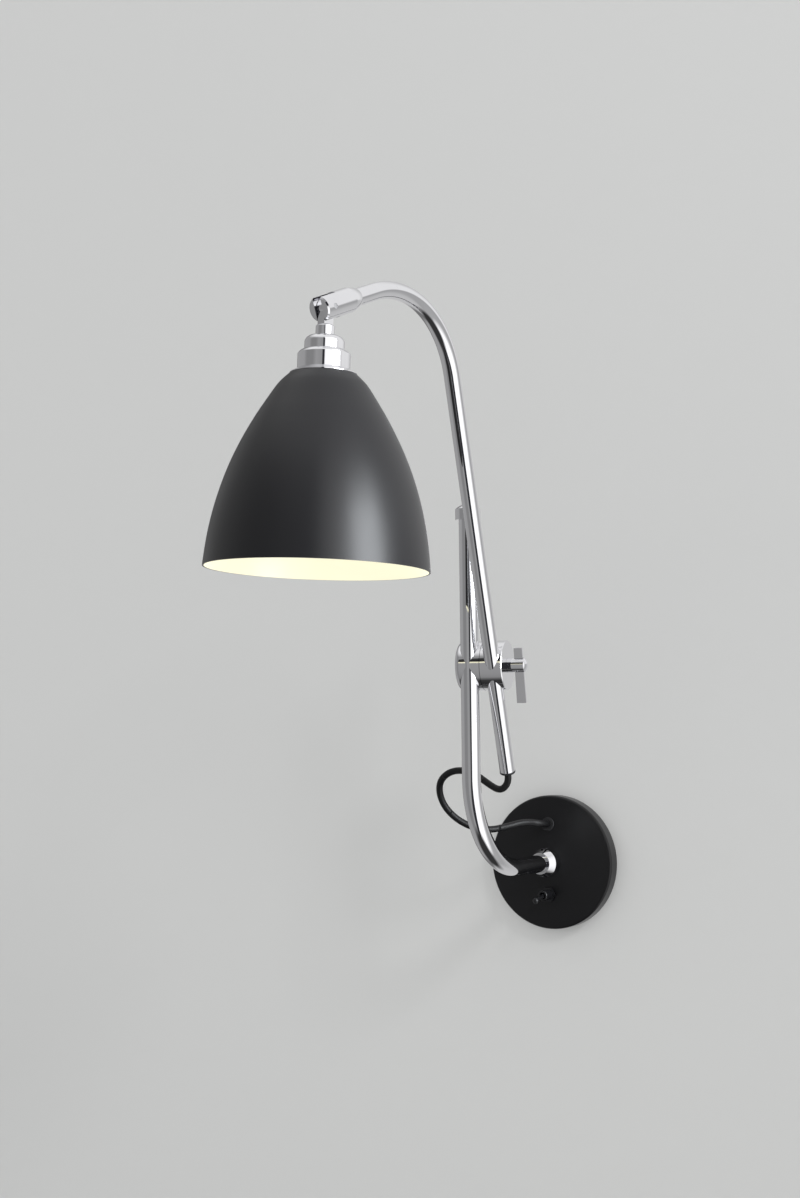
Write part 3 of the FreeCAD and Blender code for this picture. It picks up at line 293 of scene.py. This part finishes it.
# %% The upright and the arm
upright = bent_pipe(
    "upright_pipe", start=(0, -0.006, 0), way=(0, -1, 0), first_run=0.0685, side=(0, 0, 1), bend_radius=0.079,
    sweep=math.pi / 2, last_run=0.219, radius=0.0077, wall=0.0012,
)
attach(upright, "wall_part")
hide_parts("upright_tube")

arm_way = Vector((0.08936, -0.40982, 0.90778)).normalized()
arm_start = Vector((0.011385, -0.111831, 0.083059))
bend_start = Vector((0.041775, -0.251212, 0.391794))
arm = bent_pipe(
    "arm_pipe", start=arm_start, way=arm_way, first_run=(bend_start - arm_start).length,
    side=(-0.13869, -0.90766, -0.39612), bend_radius=0.086, sweep=math.radians(87.4), last_run=0.0358,
    radius=0.0065, wall=0.001,
)
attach(arm, "arm")
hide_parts("arm_tube")
for pipe, node in ((upright, "upright_tube"), (arm, "arm_tube")):
    old = [nodes[node].matrix_world @ Vector(c) for c in nodes[node].bound_box]
    new = [Vector(c) for c in pipe.bound_box]
    for pick in (min, max):
        off = [pick(c[i] for c in new) - pick(c[i] for c in old) for i in range(3)]
        print(node, pick.__name__, "differs by, mm:", [round(1000 * value, 2) for value in off])

# %% [markdown]
# ## The spun shade
# A metal shade is spun, so its shoulder flows into its bell without a crease. The profile is half a bell, and
# the same NURBS curve as the cord's smooths it. The inner side is that curve moved in by the metal's
# thickness, and one full spin about the shade's axis makes the shell.

# %% The shade's profile
# Radius and height above the lip, in millimetres, from the crown down to the lip.
shade_control = [
    (23.8, 138.6), (29.1, 133.9), (33.5, 128.5), (41, 116.6), (47.4, 106.3), (56.7, 88.8), (64.6, 70.8),
    (70.8, 52.2), (75.6, 33.1), (78.8, 13.4), (80, 0),
]
shade_wall = 0.0012
collar_r, crown_z = 0.01735, 0.1386
outer = nurbs_line("shade_profile", [(radius / 1000, 0, high / 1000) for radius, high in shade_control])
inner = []
for i, here in enumerate(outer):
    before, after = outer[max(i - 1, 0)], outer[min(i + 1, len(outer) - 1)]
    down = (after - before).normalized()
    inner.append(here + shade_wall * Vector((down.z, 0, -down.x)))
inner[-1].z = 0
inner = [p for p in inner if p.z < crown_z - shade_wall]
outline = [Vector((collar_r, 0, crown_z)), *outer, *reversed(inner)]
outline += [Vector((inner[0].x, 0, crown_z - shade_wall)), Vector((collar_r, 0, crown_z - shade_wall))]
print("points round the shade's wall:", len(outline))

# %% Spin the shade
shade_axis = Vector((0.02797, 0.03696, 0.99893)).normalized()
shade_foot = Vector((0.0254296, -0.4188282, 0.2311272))
spin_steps = 144
sharp_angle = math.radians(30)

made = bmesh.new()
corners = [made.verts.new(p) for p in outline]
loop = [made.edges.new(pair) for pair in zip(corners, corners[1:] + corners[:1])]
bmesh.ops.spin(
    made, geom=corners + loop, cent=(0, 0, 0), axis=(0, 0, 1), angle=2 * math.pi, steps=spin_steps,
    use_merge=True,
)
bmesh.ops.recalc_face_normals(made, faces=made.faces)
for edge in made.edges:
    edge.smooth = edge.calc_face_angle(0) < sharp_angle
place = Matrix.Translation(shade_foot) @ shade_axis.to_track_quat("Z", "Y").to_matrix().to_4x4()
bmesh.ops.transform(made, matrix=place, verts=made.verts)
print("shade vertices:", len(made.verts), "open edges:", sum(e.is_boundary for e in made.edges))
shade = add_object("spun_shade", made)
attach(shade, "head")
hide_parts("shade")

# %% [markdown]
# ## Shared effects
# Several finishes need the same two small effects: a fine grain, and a soft smudge that changes how sharp a
# reflection is. Each effect is a node group with its own inputs, so it is built once and used with other
# numbers in each material. The groups put out numbers only, and the shaders stay in the materials.

# %% Node helpers
def add(tree, kind, **settings):
    """A node of this kind with its properties or inputs set."""
    node = tree.nodes.new(kind)
    for key, value in settings.items():
        if hasattr(node, key):
            setattr(node, key, value)
        else:
            node.inputs[key.replace("_", " ")].default_value = value
    return node


def feed(tree, socket, value):
    """Links a socket, or sets a constant."""
    if isinstance(value, bpy.types.NodeSocket):
        tree.links.new(value, socket)
    else:
        socket.default_value = value


def combine(tree, kind, operation, *values):
    """A maths node of this kind; the values are sockets or constants."""
    node = add(tree, kind, operation=operation)
    for socket, value in zip(node.inputs, values):
        feed(tree, socket, value)
    return node


def spread(tree, source, low, high):
    """Turns a 0 to 1 value into low to high, which may be sockets or numbers."""
    remap = add(tree, "ShaderNodeMapRange")
    tree.links.new(source, remap.inputs["Value"])
    feed(tree, remap.inputs["To Min"], low)
    feed(tree, remap.inputs["To Max"], high)
    return remap.outputs["Result"]


def fade(tree, source, start, end):
    """0 where the source is at start and 1 where it is at end, with a straight line between."""
    remap = add(tree, "ShaderNodeMapRange")
    tree.links.new(source, remap.inputs["Value"])
    remap.inputs["From Min"].default_value = start
    remap.inputs["From Max"].default_value = end
    return remap.outputs["Result"]


def mix(tree, factor, first, second):
    """A colour that goes from first to second; both are sockets or colours."""
    node = add(tree, "ShaderNodeMix", data_type="RGBA")
    tree.links.new(factor, node.inputs["Factor"])
    feed(tree, node.inputs["A"], first)
    feed(tree, node.inputs["B"], second)
    return node.outputs["Result"]


def mix_shaders(tree, factor, first, second):
    node = tree.nodes.new("ShaderNodeMixShader")
    for socket, source in zip(node.inputs, (factor, first, second)):
        tree.links.new(source, socket)
    return node.outputs["Shader"]


# %% Node groups
def new_group(name, inputs, outputs):
    """An empty shader group with float inputs and the named outputs."""
    group = bpy.data.node_groups.new(name, "ShaderNodeTree")
    for label, value in inputs:
        group.interface.new_socket(label, in_out="INPUT", socket_type="NodeSocketFloat").default_value = value
    for label in outputs:
        group.interface.new_socket(label, in_out="OUTPUT", socket_type="NodeSocketFloat")
    return group, group.nodes.new("NodeGroupInput"), group.nodes.new("NodeGroupOutput")


grain_group, grain_in, grain_out = new_group("fine_grain", [("Size", 900.0), ("Detail", 3.0)], ["Height"])
place = grain_group.nodes.new("ShaderNodeTexCoord")
noise = add(grain_group, "ShaderNodeTexNoise", Roughness=0.6)
grain_group.links.new(place.outputs["Object"], noise.inputs["Vector"])
grain_group.links.new(grain_in.outputs["Size"], noise.inputs["Scale"])
grain_group.links.new(grain_in.outputs["Detail"], noise.inputs["Detail"])
grain_group.links.new(noise.outputs["Fac"], grain_out.inputs["Height"])

smudge_group, smudge_in, smudge_out = new_group(
    "soft_smudge", [("Size", 30.0), ("Sharp", 0.03), ("Dull", 0.09)], ["Roughness", "Mask"]
)
place = smudge_group.nodes.new("ShaderNodeTexCoord")
broad = add(smudge_group, "ShaderNodeTexNoise", Detail=4.0, Roughness=0.65, Distortion=0.6)
smudge_group.links.new(place.outputs["Object"], broad.inputs["Vector"])
smudge_group.links.new(smudge_in.outputs["Size"], broad.inputs["Scale"])
ramp = add(smudge_group, "ShaderNodeValToRGB")
ramp.color_ramp.elements[0].position = 0.42
ramp.color_ramp.elements[1].position = 0.72
smudge_group.links.new(broad.outputs["Fac"], ramp.inputs["Fac"])
smudge_group.links.new(ramp.outputs["Color"], smudge_out.inputs["Mask"])
dulled = spread(smudge_group, ramp.outputs["Color"], smudge_in.outputs["Sharp"], smudge_in.outputs["Dull"])
smudge_group.links.new(dulled, smudge_out.inputs["Roughness"])
print("groups:", grain_group.name, smudge_group.name)

# %% [markdown]
# ## A finish from parts
# Every finish here is a Principled shader. Its base colour drifts a little, its roughness follows the smudge
# group, and a bump node reads the grain group. What differs is how strong each of them is: chrome is nearly a
# mirror and has no grain, the paints are satin, and rubber is dull.

# %% The finish maker
def finish(name, colour, metallic=0.0, sharp=0.3, dull=0.4, smudge_size=30.0, grain_size=900.0,
           grain_depth=0.05, grain_reach=0.0004, drift=0.06, specular=0.5):
    """A Principled material with colour drift, smudged roughness and a fine grain."""
    material = bpy.data.materials.new(name)
    material.use_nodes = True
    tree = material.node_tree
    shader = tree.nodes["Principled BSDF"]
    shader.inputs["Metallic"].default_value = metallic
    shader.inputs["Specular IOR Level"].default_value = specular
    smudge = add(tree, "ShaderNodeGroup", node_tree=smudge_group)
    for label, value in (("Size", smudge_size), ("Sharp", sharp), ("Dull", dull)):
        smudge.inputs[label].default_value = value
    tree.links.new(smudge.outputs["Roughness"], shader.inputs["Roughness"])
    drifted = [c * (1 - drift) for c in colour]
    tint = mix(tree, smudge.outputs["Mask"], (*colour, 1), (*drifted, 1))
    tree.links.new(tint, shader.inputs["Base Color"])
    if grain_depth:
        grain = add(tree, "ShaderNodeGroup", node_tree=grain_group)
        grain.inputs["Size"].default_value = grain_size
        bump = add(tree, "ShaderNodeBump", Strength=grain_depth, Distance=grain_reach)
        tree.links.new(grain.outputs["Height"], bump.inputs["Height"])
        tree.links.new(bump.outputs["Normal"], shader.inputs["Normal"])
    return material


# %% The plain finishes
# After the colour: metallic, sharp and dull roughness, the smudge's size, the grain's size and its depth.
finishes = {
    "chrome": finish(
        "polished_chrome", (0.78, 0.78, 0.8), 1.0, 0.02, 0.05, 26, grain_depth=0.0, drift=0.03
    ),
    "black_paint": finish(
        "satin_black_plate", (0.005, 0.005, 0.006), 0.0, 0.32, 0.38, 22, 1400, 0.05, specular=0.35
    ),
    "steel": finish("zinc_steel", (0.55, 0.55, 0.56), 1.0, 0.28, 0.42, 60, 700, 0.12, drift=0.15),
    "brass": finish("plain_brass", (0.72, 0.58, 0.3), 1.0, 0.18, 0.32, 50, 800, 0.08, drift=0.12),
    "rubber": finish("soft_rubber", (0.01, 0.01, 0.011), 0.0, 0.5, 0.62, 40, 1600, 0.2, specular=0.35),
    "cord": finish("cord_rubber", (0.004, 0.004, 0.0045), 0.0, 0.42, 0.55, 50, 1500, 0.15, specular=0.3),
    "black_plastic": finish(
        "moulded_black", (0.006, 0.006, 0.007), 0.0, 0.3, 0.42, 60, 1500, 0.1, specular=0.4
    ),
    "white_plastic": finish("moulded_white", (0.85, 0.85, 0.82), 0.0, 0.45, 0.55, 60, 1200, 0.1),
    "nylon": finish("nylon_pad", (0.75, 0.75, 0.72), 0.0, 0.45, 0.6, 60, 1200, 0.1),
}
print("finishes:", sorted(finishes))

# %% [markdown]
# ## The shade's two coats
# The shade is one spun metal shell: satin black outside, and a cream white inside. The inside also carries
# painted light: a warm emission on the inner coat stands in for the bulb's light falling on it. The shell has
# a wall, so its inner faces point at the shade's axis and its outer faces away from it. The material measures
# that: it takes the vector from the axis to the surface and asks whether the surface normal runs with it or
# against it. Both are in the object's own space, so the coats stay put when the shade tilts.

# %% Shade paint
# The cream is the inner paint's own colour, kept dim. The warm colour and strength after it are painted
# light: an emission on the inner coat that stands in for the bulb's light on it and gives most of the
# inside's brightness.
cream = (0.2, 0.19, 0.16)
painted_inner_light = (1.0, 0.97, 0.72)
painted_inner_light_strength = 0.82

shade_paint = finish(
    "shade_satin_black", (0.003, 0.003, 0.0045), 0.0, 0.34, 0.38, 14, 1100, 0.05, specular=0.55
)
tree = shade_paint.node_tree
shader = tree.nodes["Principled BSDF"]
place = tree.nodes.new("ShaderNodeTexCoord")
maths_kind = "ShaderNodeVectorMath"
from_foot = combine(tree, maths_kind, "SUBTRACT", place.outputs["Object"], shade_foot).outputs["Vector"]
along = combine(tree, maths_kind, "PROJECT", from_foot, shade_axis).outputs["Vector"]
outward = combine(tree, maths_kind, "SUBTRACT", from_foot, along).outputs["Vector"]
outward = combine(tree, maths_kind, "NORMALIZE", outward).outputs["Vector"]
facing = combine(tree, maths_kind, "DOT_PRODUCT", outward, place.outputs["Normal"]).outputs["Value"]
inside = fade(tree, facing, -0.02, -0.08)
black = shader.inputs["Base Color"].links[0].from_socket
tree.links.new(mix(tree, inside, black, (*cream, 1)), shader.inputs["Base Color"])
# Painted light: the inner faces give off the warm emission in place of the bulb's light falling on them.
tree.links.new(mix(tree, inside, (0, 0, 0, 1), (*painted_inner_light, 1)), shader.inputs["Emission Color"])
shader.inputs["Emission Strength"].default_value = painted_inner_light_strength
finishes["shade_paint"] = shade_paint
print("two coats in:", shade_paint.name)

# %% [markdown]
# ## The bulb
# A frosted bulb scatters the light of its filament so evenly that the whole glass looks bright. A white glass
# surface that gives off a warm light is a fair picture of that.

# %% Frosted bulb
bulb_light = (1.0, 0.9, 0.68)
bulb_strength = 1.6

bulb = finish("frosted_bulb", (0.95, 0.93, 0.88), 0.0, 0.35, 0.45, 40, 900, 0.05, drift=0.03)
shader = bulb.node_tree.nodes["Principled BSDF"]
shader.inputs["Emission Color"].default_value = (*bulb_light, 1)
shader.inputs["Emission Strength"].default_value = bulb_strength
finishes["glass"] = bulb
print("bulb gives off:", bulb_light)

# %% [markdown]
# ## Giving each part its finish
# The record says which material slot each CAD part has, so a loop over the record is enough for those. The
# cord, the tubes and the shade take the finish of the parts that they replace.

# %% Finishes onto the parts
slot_of = {part["node"]: part["material_slot"] for part in frame["record"]["subparts"]}
for name, part in nodes.items():
    part.data.materials.clear()
    part.data.materials.append(finishes[slot_of[name]])
new_pieces = [(piece, "cord") for piece in cords.values()]
new_pieces += [(upright, "chrome"), (arm, "chrome"), (shade, "shade_paint")]
for piece, slot in new_pieces:
    piece.data.materials.append(finishes[slot])
print("parts with a finish:", len(nodes) + len(new_pieces))

# %% [markdown]
# ## The room in the chrome
# Chrome shows nothing but its surroundings, so the room is most of its look. For mirror rays the world is a
# plain studio drawn from directions: grey on the left, a narrow dark gap, a bright screen on the right, and
# the pale wall behind. Colour ramps over the azimuth are enough for that, and they need no picture. Other
# rays see an even, soft sky, and the camera sees the backdrop's colour.

# %% Directions in the world
backdrop = (0.604, 0.608, 0.604)
studio = bpy.data.worlds.new("studio")
scene.world = studio
studio.use_nodes = True
tree = studio.node_tree
tree.nodes.clear()
place = tree.nodes.new("ShaderNodeTexCoord")
parts = tree.nodes.new("ShaderNodeSeparateXYZ")
tree.links.new(place.outputs["Generated"], parts.inputs["Vector"])
height = parts.outputs["Z"]


def maths(operation, *values):
    """The result of a maths node in the world; the values are sockets or numbers."""
    return combine(tree, "ShaderNodeMath", operation, *values).outputs["Value"]


def turn_share(degrees):
    """Degrees to the right of straight out from the wall, as a share of a full turn that starts behind it."""
    return (degrees + 180) / 360


out_from_wall = maths("MULTIPLY", parts.outputs["Y"], -1.0)
share = maths("ADD", maths("DIVIDE", maths("ARCTAN2", parts.outputs["X"], out_from_wall), 2 * math.pi), 0.5)

# %% The walls of the studio
screen_end = 112


def panorama(stops):
    """A colour ramp over the azimuth; stops are (degrees right of straight out from the wall, brightness)."""
    ramp = add(tree, "ShaderNodeValToRGB")
    ramp.color_ramp.interpolation = "LINEAR"
    points = ramp.color_ramp.elements
    points[0].position = 0
    points[1].position = 1
    for degrees, _ in stops[1:-1]:
        points.new(turn_share(degrees))
    for point, (_, value) in zip(points, stops):
        point.color = (value, value, value, 1)
    tree.links.new(share, ramp.inputs["Fac"])
    return ramp.outputs["Color"]


around = panorama([
    (-180, 0.64), (-146, 0.6), (-136, 0.2), (-128, 0.22), (-118, 0.4), (-62, 0.38), (-46, 0.27), (-16, 0.27),
    (0, 0.38), (29, 0.33), (31, 0.95), (44, 1.4), (100, 1.4), (114, 0.8), (120, 0.48), (138, 0.44),
    (150, 0.6), (180, 0.64),
])
# Past the screen the studio is brighter above eye level than below it.
upper = panorama([(-180, 0.64), (-146, 0.6), (110, 0.6), (118, 0.95), (152, 0.95), (180, 0.64)])
past_screen = maths("GREATER_THAN", share, turn_share(screen_end))
lifted = mix(tree, maths("MULTIPLY", fade(tree, height, 0.07, 0.17), past_screen), around, upper)
print("studio ramps:", sum(node.type == "VALTORGB" for node in tree.nodes))

# %% The dark gap, the ceiling and the floor of the studio
gap_azimuth = 31
gap_edge = 2 / 360
gap_colour = (0.035, 0.035, 0.04, 1)
ceiling_colour = (0.95, 0.95, 0.95, 1)
floor_colour = (0.04, 0.04, 0.04, 1)
# The gap's half width in degrees at four heights, from low to high: it is widest towards the floor.
gap_stops = [(0.2, 16), (0.45, 8.5), (0.52, 8.5), (0.58, 4)]

gap_half = add(tree, "ShaderNodeValToRGB")
points = gap_half.color_ramp.elements
points[0].position, points[1].position = gap_stops[0][0], gap_stops[-1][0]
for position, _ in gap_stops[1:-1]:
    points.new(position)
for point, (_, degrees) in zip(points, gap_stops):
    point.color = (degrees / 360, degrees / 360, degrees / 360, 1)
tree.links.new(maths("DIVIDE", maths("ADD", height, 1.0), 2.0), gap_half.inputs["Fac"])
off_gap = maths("ABSOLUTE", maths("SUBTRACT", share, turn_share(gap_azimuth)))
past_gap = maths("SUBTRACT", off_gap, gap_half.outputs["Color"])
studio_view = mix(tree, fade(tree, past_gap, gap_edge, 0), lifted, gap_colour)
studio_view = mix(tree, fade(tree, height, 0.62, 0.85), studio_view, ceiling_colour)
studio_view = mix(tree, fade(tree, height, -0.8, -0.92), studio_view, floor_colour)

# %% What each kind of ray sees
sky_strength = 1.05

rays = tree.nodes.new("ShaderNodeLightPath")
mirror_view = add(tree, "ShaderNodeBackground", Strength=1.0)
tree.links.new(studio_view, mirror_view.inputs["Color"])
soft_sky = add(tree, "ShaderNodeBackground", Color=(1, 1, 1, 1), Strength=sky_strength)
pale = add(tree, "ShaderNodeBackground", Color=(*backdrop, 1), Strength=1.0)
mirror_or_sky = mix_shaders(
    tree, rays.outputs["Is Glossy Ray"], soft_sky.outputs["Background"], mirror_view.outputs["Background"]
)
seen = mix_shaders(tree, rays.outputs["Is Camera Ray"], mirror_or_sky, pale.outputs["Background"])
world_out = tree.nodes.new("ShaderNodeOutputWorld")
tree.links.new(seen, world_out.inputs["Surface"])
scene.view_settings.view_transform = "Standard"
print("world nodes:", len(tree.nodes))

# %% [markdown]
# ## Wall and floor
# The wall stands just behind the plate and takes its soft shadow. It is seen from the front alone: from
# behind it lets the view through, so that the back of the lamp can be looked at too. The floor lies well
# below. Mirror rays see neither of them, since the studio in the world stands in for both.

# %% Wall and floor
even_share = 0.25


def stage_material(name):
    """Matt and pale; to the camera a quarter of it is an even glow, and from behind it is clear."""
    material = bpy.data.materials.new(name)
    material.use_nodes = True
    tree = material.node_tree
    tree.nodes.clear()
    even = add(tree, "ShaderNodeEmission", Color=(*backdrop, 1), Strength=1.0).outputs["Emission"]
    matt = add(tree, "ShaderNodeBsdfDiffuse", Color=(*backdrop, 1)).outputs["BSDF"]
    clear = tree.nodes.new("ShaderNodeBsdfTransparent").outputs["BSDF"]
    rays = tree.nodes.new("ShaderNodeLightPath")
    side = tree.nodes.new("ShaderNodeNewGeometry")
    glowing = combine(tree, "ShaderNodeMath", "MULTIPLY", rays.outputs["Is Camera Ray"], even_share)
    surface = mix_shaders(tree, glowing.outputs["Value"], matt, even)
    out = tree.nodes.new("ShaderNodeOutputMaterial")
    tree.links.new(mix_shaders(tree, side.outputs["Backfacing"], surface, clear), out.inputs["Surface"])
    return material


def stage_plane(name, size, matrix):
    made = bmesh.new()
    bmesh.ops.create_grid(made, x_segments=1, y_segments=1, size=size, matrix=matrix)
    placed = add_object(name, made)
    placed.data.materials.append(stage_material(name))
    placed.visible_glossy = False
    placed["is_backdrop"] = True
    print(name, "half width, m:", size)


stage_plane("wall", 3.0, Matrix.Translation((0, 0.0006, 0)) @ Matrix.Rotation(math.pi / 2, 4, "X"))
stage_plane("floor", 6.0, Matrix.Translation((0, 0, -0.5)))

# %% [markdown]
# ## Two soft lamps
# A tall screen on the right gives the shade its long highlight, and a smaller lamp higher up gives the plate
# its shadow on the wall. An area lamp is a glowing rectangle: the larger it is, the softer its shadows are.

# %% Lamps
lamp_target = Vector((0.02, -0.25, 0.2))


def soft_lamp(name, azimuth, elevation, distance, wide, high, watts, colour=(1, 1, 1)):
    """A rectangular lamp that faces the middle of the shade and arm."""
    data = bpy.data.lights.new(name, "AREA")
    data.shape = "RECTANGLE"
    data.size, data.size_y, data.energy, data.color = wide, high, watts, colour
    lamp = bpy.data.objects.new(name, data)
    a, e = math.radians(azimuth), math.radians(elevation)
    out = Vector((math.sin(a) * math.cos(e), -math.cos(a) * math.cos(e), math.sin(e)))
    facing_turn = out.to_track_quat("Z", "Y").to_matrix().to_4x4()
    lamp.matrix_world = Matrix.Translation(lamp_target + out * distance) @ facing_turn
    scene.collection.objects.link(lamp)
    print(name, "watts:", watts)
    return lamp


screen = soft_lamp("screen", 80, 12, 1.6, wide=0.9, high=1.2, watts=34, colour=(0.92, 0.96, 1.0))
shadow_lamp = soft_lamp("shadow_lamp", 58, 32, 3.0, wide=0.5, high=0.5, watts=22)
shadow_lamp.visible_glossy = False
# The screen lights the lamp alone. On the wall it would make one side brighter than the other, and on the
# plate it would turn the black edge grey.
on_lamp = bpy.data.collections.new("lit_by_screen")
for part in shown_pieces():
    if part.name != "wall_plate":
        on_lamp.objects.link(part)
screen.light_linking.receiver_collection = on_lamp
